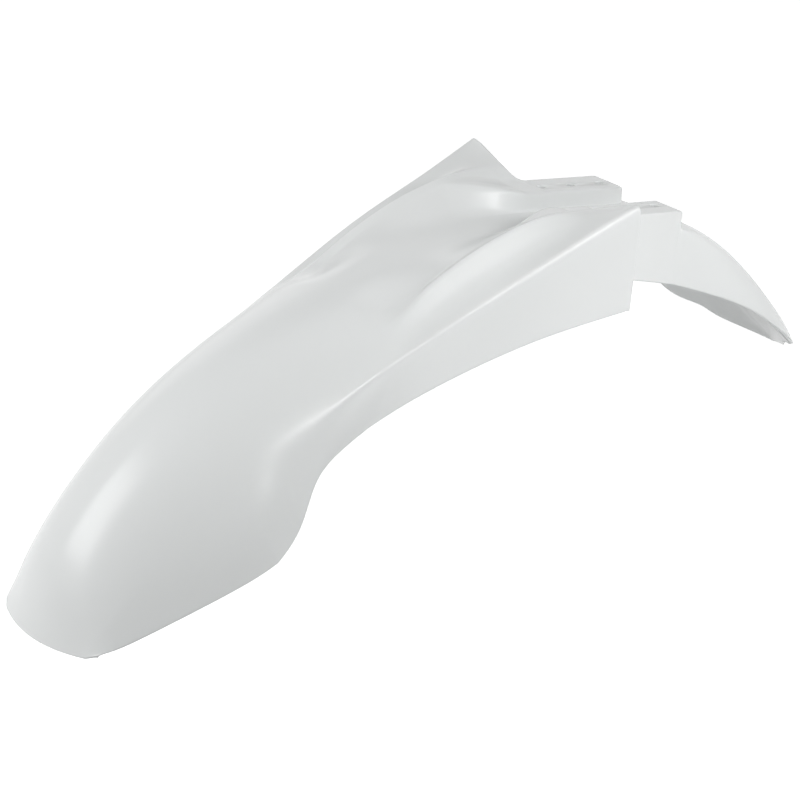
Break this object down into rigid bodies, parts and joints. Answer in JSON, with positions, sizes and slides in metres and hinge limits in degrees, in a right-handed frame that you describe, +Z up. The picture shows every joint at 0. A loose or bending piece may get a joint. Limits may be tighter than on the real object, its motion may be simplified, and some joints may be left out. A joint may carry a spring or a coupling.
{
  "type": "motorcycle front mudguard",
  "caption": "Long moulded front mudguard for an off-road motorcycle, with a drooping nose, winged side panels, bolted mounting rails and a flared tail.",
  "frame": {"origin": "centre of the bolt pattern, level with the flat tops of the two mounting rails", "axes": "+Z up out of the rail tops, against the steering clamp; +X back towards the tail; the nose points to -X and the rider's left is -Y"},
  "size_m": [0.7093, 0.18, 0.2942],
  "materials": {
    "white_plastic": "satin, as moulded in white polypropylene"
  },
  "bodies": {
    "root": {"mudguard": "white_plastic"}
  },
  "joints": []
}
